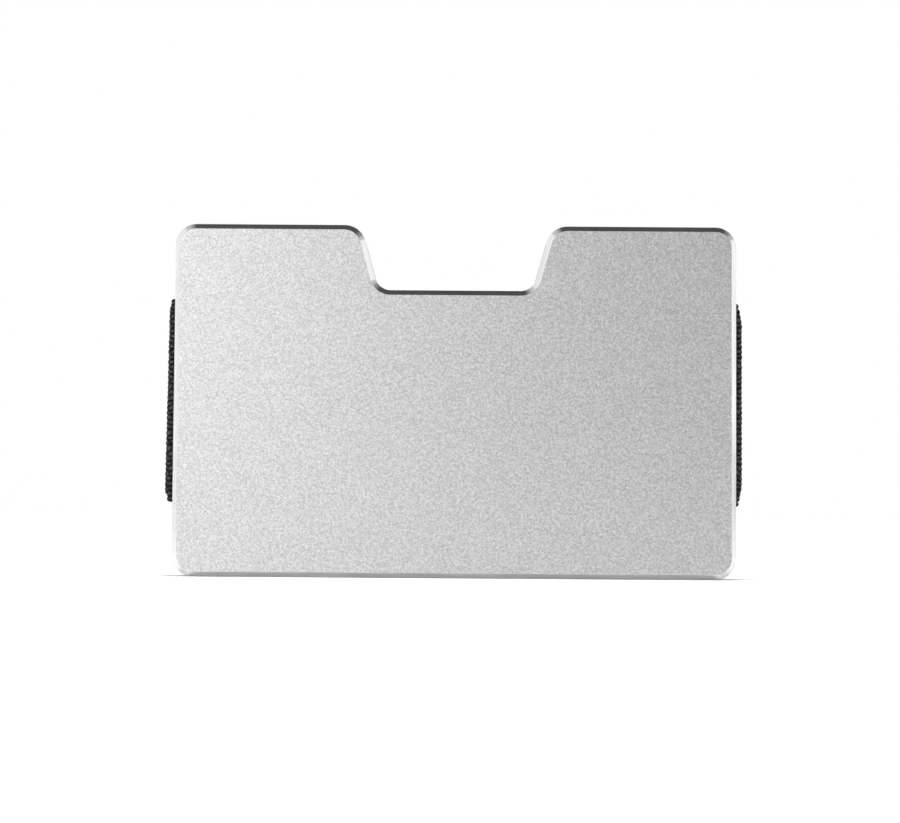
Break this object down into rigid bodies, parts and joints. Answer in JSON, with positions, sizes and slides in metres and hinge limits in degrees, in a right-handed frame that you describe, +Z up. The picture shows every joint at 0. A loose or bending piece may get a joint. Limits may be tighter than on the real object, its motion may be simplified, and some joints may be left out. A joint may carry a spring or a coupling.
{
  "type": "minimalist wallet",
  "caption": "Slim metal card wallet: two plates joined by a side elastic that opens for cards, with a thumb notch at the top and a banknote clip on the back.",
  "frame": {"origin": "middle of the footprint, on the surface that the wallet's long bottom edge stands on", "axes": "+X along the long side, to the right seen from the front; +Y from the front face to the clip side; +Z up, towards the thumb notch"},
  "size_m": [0.0886, 0.0096, 0.054],
  "materials": {
    "plate_metal": "bead-blasted and clear anodised, edges polished",
    "inner_moulding": "fine moulded texture",
    "elastic": "woven elastic with lengthwise ribs",
    "screw_steel": "plain stainless, machined",
    "clip_steel": "brushed along its length"
  },
  "bodies": {
    "front_half": {"front_plate": "plate_metal", "front_inner_plate": "inner_moulding", "band_front_run": "elastic", "front_screw_1": "screw_steel", "front_screw_2": "screw_steel", "front_screw_3": "screw_steel", "front_screw_4": "screw_steel"},
    "band": {"band_wrap_left": "elastic", "band_wrap_right": "elastic"},
    "back_half": {"back_plate": "plate_metal", "back_inner_plate": "inner_moulding", "band_back_run": "elastic", "clip_base": "clip_steel", "back_screw_1": "screw_steel", "back_screw_2": "screw_steel", "back_screw_3": "screw_steel", "back_screw_4": "screw_steel", "clip_screw_1": "screw_steel", "clip_screw_2": "screw_steel"},
    "clip_arm": {"clip_arm": "clip_steel"}
  },
  "joints": [
    {"name": "spread", "type": "slide", "parent": "front_half", "child": "band", "axis": [0, 1, 0], "range_m": [0, 0.009], "stiffness_N_per_m": 800, "springref_m": -0.001, "deforming": ["band_wrap_left", "band_wrap_right"]},
    {"name": "tilt", "type": "hinge", "parent": "band", "child": "back_half", "pos_m": [0, -0.001, 0.0003], "axis": [-1, 0, 0], "range_deg": [0, 8], "stiffness_Nm_per_rad": 0.65, "springref_deg": -1.72, "deforming": ["band_wrap_left", "band_wrap_right"]},
    {"name": "clip_flex", "type": "hinge", "parent": "back_half", "child": "clip_arm", "pos_m": [-0.027, 0.0032, 0.027], "axis": [0, 0, 1], "range_deg": [0, 5], "stiffness_Nm_per_rad": 4, "springref_deg": -0.23}
  ]
}
